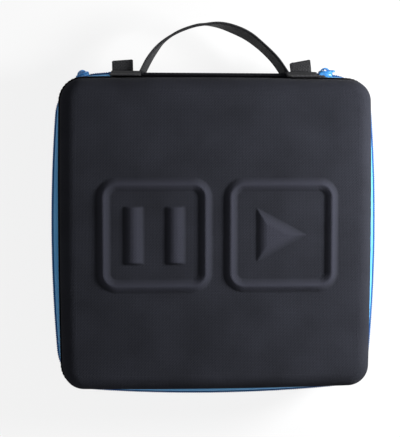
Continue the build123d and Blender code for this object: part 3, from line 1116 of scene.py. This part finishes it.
for side, (lean, skew) in TABS.items():
    tab = make_tab(side + "_tab_loop", *corners("tab_" + side), lean, skew)
    dress(tab, "hinge", WEBBING_CLOTH, "webbing", "tab_" + side)

# %% [markdown]
# The handle's points are listed along its arch, in millimetres, and the tilts say by how many degrees
# the webbing leans at each. It is sewn to the spine.

# %% Handle
HANDLE_POINTS = [(-70, 153.2), (-64, 165), (-57, 175.4), (-48.4, 184.6), (-35.9, 192.8), (-21.8, 198.3),
                 (-10.2, 200.5), (3.8, 200.1), (17.9, 196.2), (32.5, 189.4), (46.4, 178.7), (58.6, 166.7),
                 (68.3, 153.2)]
HANDLE_TILTS = [-12, -11, -6, 3, 8, 9, 9, -3, -12, -14, -11, -12, -12]
HANDLE_STEPS = 8


def make_handle(name):
    points = [Vector((x * MM, y * MM, PARTING)) for x, y in HANDLE_POINTS]
    line = smooth_line(points, HANDLE_STEPS)
    tilts = smooth_line([Vector((tilt, 0, 0)) for tilt in HANDLE_TILTS], HANDLE_STEPS)
    across, out = [], []
    for along, tilt in zip(directions(line), tilts):
        across.append(Matrix.Rotation(math.radians(tilt[0]), 3, along) @ Vector((0, 0, 1)))
        out.append(across[-1].cross(along))
    return strap(name, line, across, out, WEBBING, WEB_THICK)


handle = make_handle("carry_handle")
handle.data.materials.append(WEBBING_CLOTH)
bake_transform(handle)
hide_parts("handle_webbing", "handle_root_left", "handle_root_right")
print("handle", len(handle.data.polygons), "faces")

# %% [markdown]
# ## Sliders and pulls
# A slider is die-cast zinc, tumbled and coated in blue enamel. Its two plates hold the coil between them, a
# flange along one edge joins them, and a bail on the outer plate carries a short pull. Everything is rounded
# by the tumbling, so each part is a small bevelled block. They are built in the slider's own frame, with X
# along the chain, Y outwards and Z up, and then moved to their places on the chain's line.

# %% Enamel and slider places
# Baked enamel on zinc is a smooth coat, a little uneven, over a hard blue.
ENAMEL = mottled("blue_baked_enamel", "#3f97e0", "#1f6cb4", "#4a9fe2", 0.35, 3 * MM, bump=(0.25, 0.1 * MM),
                 Coat_Weight=0.3, Coat_Roughness=0.12)
LEFT_TURN = math.radians(22)
SLIDER_LENGTH = 13 * MM
SLIDER_HEIGHT = 11.2 * MM
SLIDER_START = SPINE_HALF + 1.7 * MM
PLATE_OUT = 2.8 * MM
PIN_OUT = 5.9 * MM


def chain_y(turn):
    """How far back the chain's bowed side stands where it has turned by an angle from the middle."""
    return CHAIN_FORM[0] - CHAIN_FORM[2] * (1 - math.cos(turn))


def slider_frame(side):
    """From the slider's frame to the case's: the left one is on a corner, the right one on a side."""
    if side == "left":
        turn = LEFT_TURN
        centre = corner_centre(CHAIN_FORM)
        x = -centre - CHAIN_FORM[1] * math.sin(turn)
        y = centre + CHAIN_FORM[1] * math.cos(turn)
    else:
        x = SLIDER_START + SLIDER_LENGTH / 2
        turn = -math.asin(x / CHAIN_FORM[2])
        y = chain_y(turn)
    return Matrix.Translation((x, y, PARTING)) @ Matrix.Rotation(turn, 4, "Z")


def moved(piece, matrix):
    piece.data.transform(matrix)
    return piece


def bevelled(name, profile, low, high, bevel):
    """A prism of (x, z) points from y low to y high with every edge rounded."""
    mesh = bmesh.new()
    face = mesh.faces.new([mesh.verts.new((x, low, z)) for x, z in profile])
    made = bmesh.ops.extrude_face_region(mesh, geom=[face])
    for vert in made["geom"]:
        if isinstance(vert, bmesh.types.BMVert):
            vert.co.y = high
    bmesh.ops.recalc_face_normals(mesh, faces=mesh.faces)
    bmesh.ops.bevel(mesh, geom=mesh.edges[:], offset=bevel, segments=3, affect="EDGES", clamp_overlap=True)
    return from_bmesh(name, mesh, smooth=True)


def bent_bar(name, path, radius, sides=10):
    """A round bar along a path in the slider's X-Y plane."""
    up = Vector((0, 0, 1))
    rows = []
    for j in range(sides):
        angle = 2 * math.pi * j / sides
        rows.append([p + (up * math.cos(angle) + up.cross(along) * math.sin(angle)) * radius
                     for p, along in zip(path, directions(path))])
    return close_ends(skin(name, rows, wrap=True))


for side in ("left", "right"):
    print(side, "slider at", [round(x, 4) for x in slider_frame(side).translation])

# %% Sliders
PLATE = 1.6 * MM
PLATE_SUNK = 0.8 * MM
PLATE_INNER = PLATE_OUT - PLATE + PLATE_SUNK
PLATE_BEVEL = 0.55 * MM
BACK_BEVEL = 0.5 * MM
FLANGE_BEVEL = 0.45 * MM
FLANGE_LAP = 0.5 * MM
FLANGE_SHARE = 0.96
FLANGE_TAPER = 0.98
FLANGE_DOWN = 3.9 * MM
BACK_DOWN = -3.0 * MM
BAIL_RADIUS = 0.85 * MM
BAIL_STEPS = 5
BAIL_FOOT = PLATE_INNER + PLATE * 0.6
BAIL_ENDS = (-4.2 * MM, 3.7 * MM)
# The bail's bends: along the chain, and out from its pin, in millimetres.
BAIL_BENDS = [(-3.9, -1.8), (-2.8, -0.4), (-0.6, 0.5), (1.8, 0.2), (3.3, -1.3)]


def plate_profile(height):
    """(x, z) points of a plate: eight corners, nearer together at one end."""
    half, tall = SLIDER_LENGTH / 2, height / 2
    upper = [(half, 0.7 * tall), (0.75 * half, tall), (-0.35 * half, tall), (-half, 0.62 * tall)]
    return [(x, -z) for x, z in reversed(upper)] + upper


def make_slider(name):
    """An outer plate, a flange over the coil, an inner plate and the bail."""
    outer = plate_profile(SLIDER_HEIGHT)
    upper = [(x, z) for x, z in plate_profile(SLIDER_HEIGHT * FLANGE_SHARE) if z > 0]
    flange = upper + [(x * FLANGE_TAPER, FLANGE_DOWN) for x, _ in reversed(upper)]
    back = upper + [(x, BACK_DOWN) for x, _ in reversed(upper)]
    start, end = ((x, BAIL_FOOT) for x in BAIL_ENDS)
    bends = [(x * MM, PIN_OUT + y * MM) for x, y in BAIL_BENDS]
    path = [Vector((x, y, 0)) for x, y in [start] + bends + [end]]
    return joined(name, [
        bevelled(name + "_outer", outer, PLATE_INNER, PLATE_INNER + PLATE, PLATE_BEVEL),
        bevelled(name + "_flange", flange, -PLATE_INNER, PLATE_INNER + FLANGE_LAP, FLANGE_BEVEL),
        bevelled(name + "_inner", back, -PLATE_INNER - PLATE, -PLATE_INNER, BACK_BEVEL),
        bent_bar(name + "_bail", smooth_line(path, BAIL_STEPS), BAIL_RADIUS)])


for side in ("left", "right"):
    slider = moved(make_slider(side + "_slider_body"), slider_frame(side))
    dress(slider, side + "_slider", ENAMEL, "slider_enamel", "slider_" + side)

# %% [markdown]
# A pull is a flat tongue with a ring at one end that runs round the bail's pin. The right one lies along the
# chain, and the left one hangs down from its bail.

# %% Pulls
PULL_HALF = [(1.6, 1.5), (3.4, 1.9), (6.1, 3.6), (8.5, 3.3), (9.5, 1.9)]
PULL_THICK = 1.6 * MM
PULL_BEVEL = 0.45 * MM
PULL_BACK = 1.5 * MM
EYE_OUT = 2.0 * MM
EYE_HOLE = 1.2 * MM
EYE_TALL = 2.3 * MM
EYE_STEPS = (24, 8)


def make_pull(name, hangs):
    """A bevelled tongue, drawn as one half and mirrored, with a ring at its root."""
    half = [(x * MM, z * MM) for x, z in PULL_HALF]
    edge = half + [(x, -z) for x, z in reversed(half)]
    grip = bevelled(name + "_grip", edge, -PULL_THICK / 2, PULL_THICK / 2, PULL_BEVEL)
    rows = []
    for i in range(EYE_STEPS[1]):
        angle = 2 * math.pi * i / EYE_STEPS[1]
        radius = (EYE_OUT + EYE_HOLE) / 2 + (EYE_OUT - EYE_HOLE) / 2 * math.cos(angle)
        turns = [2 * math.pi * j / EYE_STEPS[0] for j in range(EYE_STEPS[0])]
        rows.append([Vector((radius * math.cos(a), radius * math.sin(a), EYE_TALL * math.sin(angle)))
                     for a in turns])
    ring = outward(skin(name + "_ring", rows, closed=True, wrap=True))
    turn = Matrix.Rotation(math.pi / 2, 4, "Y") if hangs else Matrix.Identity(4)
    return moved(joined(name, [grip, ring]), Matrix.Translation((0, PIN_OUT - PULL_BACK, 0)) @ turn)


for side in ("left", "right"):
    tongue = moved(make_pull(side + "_pull_tab", hangs=side == "left"), slider_frame(side))
    dress(tongue, side + "_pull", ENAMEL, "slider_enamel", "pull_" + side)

# %% [markdown]
# Moulded stops end the chain beside the hinge: two small blocks pressed over the coil.

# %% Zip stops
STOP_SIZE = (2.9 * MM, 3.4 * MM)
STOP_OUT = SPINE_HALF + 1.9 * MM
STOP_BEVEL = 0.6 * MM


def make_stops(name):
    low, high = heights("zip_stops")
    y = chain_y(math.asin(STOP_OUT / CHAIN_FORM[2]))
    blocks = []
    for side in (-1, 1):
        stop = rounded_block("stop", (*STOP_SIZE, high - low), STOP_BEVEL, 3)
        blocks.append(moved(stop, Matrix.Translation((side * STOP_OUT, y, (low + high) / 2))))
    return joined(name, blocks)


dress(make_stops("moulded_zip_stops"), "case_base", NYLON, "zip_coil", "zip_stops")

# %% [markdown]
# ## Inside: linings
# Both shells are lined with brushed knit, laminated to the foam. A lining is the same pan as the shell, only
# one wall in, so the profile helper makes it: an outer and an inner skin with flat faces.

# %% Linings
for label, side, body in HALVES:
    rows = (loops(SHELL_FORM, pan_profile(SHELL_WALL + LINING))[::-1]
            + loops(SHELL_FORM, pan_profile(SHELL_WALL)))
    knit = seated(skin(label + "_knit_lining", rows, closed=True, caps=True), side)
    dress(knit, body, LINING_CLOTH, "lining_fabric", label + "_lining")

# %% [markdown]
# ## Inside: the foam tray
# The controller lies in a tray of cut polyethylene foam. Its recess is square with rounded corners, and two
# finger scoops let a hand reach under the controller's sides. The cut edges are slightly rounded, and the
# foam's closed cells show as fine pits. The tray's top is a face with a hole, and its walls go down from
# both outlines, so that one outline helper serves for the recess and the scoops.

# %% Foam tray
# Closed-cell polyethylene is matt and black. Its pits are about 0.8 mm wide, drawn 1.4 mm wide to show.
FOAM = mottled("closed_cell_foam", "#1c1c1e", "#161618", "#2c2c2f", 0.95, 1.4 * MM, cells=True,
               bump=(0.5, 0.3 * MM), Specular_IOR_Level=0.15)
RECESS_HALF = SHELL_HALF - 17.6 * MM
RECESS_CORNER = 10 * MM
SCOOP = 17 * MM
SCOOP_INSET = 11.9 * MM
FOAM_EDGE = 1.2 * MM
EDGE_STEPS = 3
TRAY_GAP = 0.3 * MM
TRAY_FLOOR = 5.5 * MM


def recess_outline(grow, steps=10):
    """Points round the recess with a scoop in the middle of its left and right sides, anticlockwise."""
    half, corner, scoop = RECESS_HALF + grow, RECESS_CORNER + grow, SCOOP + grow
    middle = RECESS_HALF - SCOOP_INSET
    mouth = math.acos((SCOOP_INSET + grow) / scoop)
    points = []
    for sign in (1, -1):
        for i in range(2 * steps + 1):
            angle = mouth * (i / steps - 1)
            points.append(Vector((sign * (middle + scoop * math.cos(angle)), sign * scoop * math.sin(angle))))
        for quarter in (0, 1):
            for i in range(steps + 1):
                angle = math.pi / 2 * (quarter + i / steps)
                x = (half - corner) * (1 - 2 * quarter) + corner * math.cos(angle)
                y = half - corner + corner * math.sin(angle)
                points.append(Vector((sign * x, sign * y)))
    return points


print("recess outline", len(recess_outline(0.0)), "points")

# %% The tray's walls and top
def tray_rows():
    """Rows down the outside, and rows down the recess, each from the top's rounded edge."""
    low, high = heights("foam_tray")
    inset = SHELL_WALL + LINING + TRAY_GAP
    top_offset = -inset - (BASE_RIM - high) * math.tan(SHELL_DRAFT)
    quarter = spread(0.0, math.pi / 2, EDGE_STEPS)
    edge = [(top_offset - FOAM_EDGE * (1 - math.cos(a)), high - FOAM_EDGE * (1 - math.sin(a)))
            for a in reversed(quarter)]
    wall = [(o, BASE_RIM - z) for o, z in pan_profile(inset) if BASE_RIM - z < high - FOAM_EDGE]
    hole = [(FOAM_EDGE * (1 - math.sin(a)), high - FOAM_EDGE * (1 - math.cos(a))) for a in quarter]
    hole.append((0.0, low + TRAY_FLOOR))
    return loops(SHELL_FORM, edge + wall), [at_height(recess_outline(grow), z) for grow, z in hole]


def make_tray(name):
    """Both walls and both floors are strips and faces, and the top is filled between their rims."""
    mesh = bmesh.new()
    uv = mesh.loops.layers.uv.new("UVMap")
    rim = []
    for rows in tray_rows():
        made = [[mesh.verts.new(p) for p in row] for row in rows]
        count = len(rows[0])
        for a, b in zip(made, made[1:]):
            for j in range(count):
                mesh.faces.new((a[j], a[(j + 1) % count], b[(j + 1) % count], b[j]))
        mesh.faces.new(made[-1])
        rim += [mesh.edges.get((made[0][j], made[0][(j + 1) % count])) for j in range(count)]
    bmesh.ops.triangle_fill(mesh, edges=rim, use_beauty=True)
    bmesh.ops.recalc_face_normals(mesh, faces=mesh.faces)
    for face in mesh.faces:
        for loop in face.loops:
            loop[uv].uv = loop.vert.co.xy
    return from_bmesh(name, mesh)


dress(make_tray("cut_foam_tray"), "case_base", FOAM, "tray_foam", "foam_tray")

# %% [markdown]
# ## Inside: lid pad, pocket and mesh
# A soft pad is laminated into the lid. On it sits a flat pocket: a folded binding on three sides, a knitted
# mesh front, and an elastic along its mouth. The pad is quilted foam, so its face is crowned and its border
# pressed down. A simulated cushion would swell into the pocket, so the crown is drawn as rounded loops.

# %% Lid pad
PAD_HALF = SHELL_HALF - 15.6 * MM
PAD_CORNER = 24 * MM
PAD_SIDE = 2.2 * MM
TIGHTEST = 2 * MM
# The pad's face: how far in from its border, and how far over its lowest face, in millimetres.
PAD_FACE = [(1.2, 1.4), (3.0, 0.9), (9, 1.3), (14, 0.5), (30, 0.1), (70, 0)]


def rounded_square(half_x, half_y, corner, z, steps=10):
    """Points of a rounded rectangle, anticlockwise, with its corners no tighter than the tightest."""
    corner = max(corner, TIGHTEST)
    points = []
    for quarter, (sx, sy) in enumerate(((1, 1), (-1, 1), (-1, -1), (1, -1))):
        for i in range(steps + 1):
            angle = math.pi / 2 * (quarter + i / steps)
            points.append(Vector((sx * (half_x - corner) + corner * math.cos(angle),
                                  sy * (half_y - corner) + corner * math.sin(angle), z)))
    return points


def make_pad(name):
    """A flat back on the lining, a rounded border and a crowned face towards the controller."""
    low, high = heights("lid_foam_pad")
    profile = [(0.0, high), (0.0, high - PAD_SIDE)] + [(o * MM, low + z * MM) for o, z in PAD_FACE]
    rows = [rounded_square(PAD_HALF - o, PAD_HALF - o, PAD_CORNER - o, z) for o, z in profile]
    return outward(skin(name, rows, closed=True, caps=True))


pad = make_pad("quilted_lid_pad")
dress(pad, "lid", LINING_CLOTH, "tray_foam", "lid_foam_pad")

# %% [markdown]
# The pocket's binding is a tape folded flat and sewn down. Two rounded outlines give its edges, and a small
# section is blended from one to the other, so that it goes round the corners with an even width.

# %% Pocket binding
POCKET = (115 * MM, 95 * MM, 10 * MM)
POCKET_EDGE = 8 * MM
# The tape's section, as shares of its width and thickness.
FOLDED = [(0.0, 0.15), (0.0, 0.85), (0.12, 1.0), (0.88, 1.0),
          (1.0, 0.85), (1.0, 0.15), (0.88, 0.0), (0.12, 0.0)]


def make_pocket_frame(name):
    """A flat folded band round three sides; the side towards the hinge is the open mouth."""
    low, high = heights("pocket_frame")
    half_x, half_y, corner = POCKET
    path = []
    for inset in (0.0, POCKET_EDGE):
        side = half_x - inset
        front = [p for p in rounded_square(side, half_y - inset, corner - inset, 0) if p[1] < 0]
        path.append([Vector((-side, half_y, 0))] + front + [Vector((side, half_y, 0))])
    rows = [[a.lerp(b, across) + Vector((0, 0, low + (high - low) * up)) for a, b in zip(*path)]
            for across, up in FOLDED]
    return close_ends(skin(name, rows, wrap=True))


dress(make_pocket_frame("pocket_binding"), "lid", BINDING_CLOTH, "binding_tape", "pocket_frame")

# %% [markdown]
# The knitted front is one thread after another, looped into six-sided holes. A flat grid of triangles is laid
# inside the pocket's outline. Its dual mesh has one cell round each grid point, and the cells' edges become
# thin round threads. A texture with holes would look flat from the side, so the threads are real.

# %% Mesh front with Geometry Nodes
CELL = 4.6 * MM
THREAD = 0.42 * MM
NET_INSET = 1 * MM
GRID_INSET = 2.5 * MM
# Knitted polyester yarn is thin and dark, with a dull gleam along each thread.
MESH_YARN = mottled("knitted_polyester_net", "#1f1f22", "#19191b", "#3a3a3f", 0.6, 1.5 * MM,
                    Specular_IOR_Level=0.3)


def net_tree():
    tree, source = new_node_tree("hexagonal_net", {"Geometry": "Geometry", "Thread": "Float",
                                                   "Finish": "Material"})
    cells = add(tree, "GeometryNodeDualMesh", Mesh=source["Geometry"], Keep_Boundaries=True)
    curve = add(tree, "GeometryNodeMeshToCurve", Mesh=cells.outputs[0])
    ring = add(tree, "GeometryNodeCurvePrimitiveCircle", Resolution=4, Radius=source["Thread"])
    thread = add(tree, "GeometryNodeCurveToMesh", Curve=curve.outputs[0], Profile_Curve=ring.outputs[0])
    return end_tree(tree, thread.outputs[0], source["Finish"])


def make_net(name):
    """Triangulated points inside the pocket's outline, turned to a net of threads."""
    low, high = heights("mesh_pocket")
    half_x, half_y, corner = POCKET
    border = [p.xy for p in rounded_square(half_x - NET_INSET, half_y - NET_INSET, corner, 0, 6)]
    row_height = CELL * math.sqrt(3) / 2
    columns, rows = int(half_x / CELL), int(half_y / row_height)
    inner = []
    for j in range(-rows, rows + 1):
        for i in range(-columns - 1, columns + 1):
            x, y = (i + 0.5 * (j % 2)) * CELL, j * row_height
            if box_distance(x, y, half_x - GRID_INSET, half_y - GRID_INSET, corner) < 0:
                inner.append(Vector((x, y)))
    verts, faces, _ = fill_face(border, lambda x, y: (low + high) / 2, inner)
    return outward(run_tree(finish_piece(name, verts, faces), net_tree(), Thread=THREAD, Finish=MESH_YARN))


net = make_net("pocket_net")
dress(net, "lid", MESH_YARN, "pocket_mesh", "mesh_pocket")

# %% [markdown]
# The mouth's elastic is a braided band, ribbed across by its rubber cores. It is a strap like the others,
# with a thickness that swells and sinks from one rib to the next.

# %% Elastic along the mouth
RIB_SWELL = 0.12
RIB_STEPS = 110


def make_elastic(name):
    low, high = corners("pocket_elastic")
    middle = (low + high) / 2
    line = [Vector((x, middle[1], middle[2])) for x in spread(low[0], high[0], RIB_STEPS)]
    out = [Vector((0, 0, 1 + RIB_SWELL * math.sin(i * math.pi / 2))) for i in range(len(line))]
    return strap(name, line, [Vector((0, 1, 0))] * len(line), out, high[1] - low[1], high[2] - low[2])


dress(make_elastic("ribbed_elastic"), "lid", ELASTIC_CLOTH, "elastic", "pocket_elastic")

# %% [markdown]
# ## Stitches
# Every seam of the case is sewn with a bonded polyester thread. From outside a lock stitch is a row of short
# bars, each sunk a little into the cloth. The tree that lays the coil's teeth lays these bars too, along
# lines a fixed way in from each edge. The thread is 0.4 mm thick; it is drawn 0.6 mm wide so that it shows.
# Stitches on different bodies are separate pieces, so that each row moves with what it is sewn to.

# %% Thread
STITCH = (2.6 * MM, 0.6 * MM, 0.5 * MM)
STITCH_PITCH = 3.7 * MM
# Bonded polyester thread is dark grey, with a dull gleam from its wax.
THREAD_FINISH = mottled("bonded_polyester_thread", "#3a3a3f", "#2a2a2e", "#505056", 0.6, 2 * MM,
                        Specular_IOR_Level=0.2)
UP, BACK = (0, 0, 1), (0, 1, 0)


def sewn(name, lines, up, body, slot):
    dress(repeated(name, lines, STITCH, STITCH_PITCH, up, THREAD_FINISH), body, THREAD_FINISH, slot)


def run(start, end, steps=12):
    """A straight line of points."""
    start, end = Vector(start), Vector(end)
    return [start.lerp(end, share) for share in spread(0.0, 1.0, steps)]


print("a stitch every", round(STITCH_PITCH / MM, 1), "mm")

# %% Stitches round the rims
SEAM_UP = 3.6 * MM
seam_out = BINDING_OUT - SEAM_UP * math.tan(SHELL_DRAFT)
for label, side, body in HALVES:
    seam = loops(SHELL_FORM, [(seam_out, rim_height(side) + side * SEAM_UP)])
    sewn(label + "_binding_stitches", cut_open(seam, SPINE_HALF), UP, body, "binding_tape")

# %% Stitches on the hinge, the patches and the tabs
HINGE_SEAM = (3 * MM, FOLD_REACH * 0.45, 1.35 * MM)
PATCH_SEAM = 2.2 * MM
PATCH_TOP = LID_RIM - FOLD_REACH - 0.5 * MM
HEM = (4 * MM, 2 * MM, 2 * MM)
HEM_SUNK = 0.9
TAB_SEAM = (1.6 * MM, 4 * MM, 2 * MM)
TAB_FACE = PARTING + 1.75 * MM

hinge_rows = []
for side in (-1, 1):
    end, z = SPINE_HALF - HINGE_SEAM[0], rim_height(side) - side * HINGE_SEAM[1]
    y = spine_bulge(z) + HINGE_SEAM[2]
    hinge_rows.append(run((-end, y, z), (end, y, z)))
sewn("hinge_stitches", hinge_rows, BACK, "hinge", "hinge_fabric")

patch_rows, tab_rows, hem_rows = [], [], []
for side, (reach, _, _) in PATCHES.items():
    low, high = corners("anchor_patch_" + side)
    left, right, bottom = low[0] + PATCH_SEAM, high[0] - PATCH_SEAM, low[2] + PATCH_SEAM
    y = patch_seat(bottom) + PATCH_THICK
    patch_rows.append(run((left, y, bottom), (right, y, bottom)))
    for x in (left, right):
        patch_rows.append([Vector((p[0], patch_seat(p[2]) + PATCH_THICK, p[2]))
                           for p in run((x, y, bottom), (x, y, PATCH_TOP), 8)])
    z = LID_RIM + reach - HEM[2]
    y = patch_seat(z) + PATCH_THICK * HEM_SUNK
    hem_rows.append(run((low[0] + HEM[0], y, z), (high[0] - HEM[1], y, z)))
    low, high = corners("tab_" + side)
    for x in (low[0] + TAB_SEAM[0], high[0] - TAB_SEAM[0]):
        tab_rows.append(run((x, low[1] + TAB_SEAM[1], TAB_FACE),
                            (x, low[1] + TAB_LENGTH - TAB_SEAM[2], TAB_FACE)))
sewn("patch_stitches", patch_rows, BACK, "hinge", "webbing")
sewn("tab_stitches", tab_rows, UP, "hinge", "webbing")
sewn("patch_hem_stitches", hem_rows, BACK, "lid", "webbing")

# %% Stitches round the pocket
POCKET_SEAM = 1.6 * MM
POCKET_STOP = POCKET[1] - 3 * MM
low = heights("pocket_frame")[0]
pocket_seams = []
for inset in (POCKET_SEAM, POCKET_EDGE - POCKET_SEAM):
    x, y = POCKET[0] - inset, POCKET[1] - inset
    pocket_seams.append(at_height([(-x, POCKET_STOP), (-x, -y), (x, -y), (x, POCKET_STOP)], low))
sewn("pocket_stitches", pocket_seams, UP, "lid", "binding_tape")
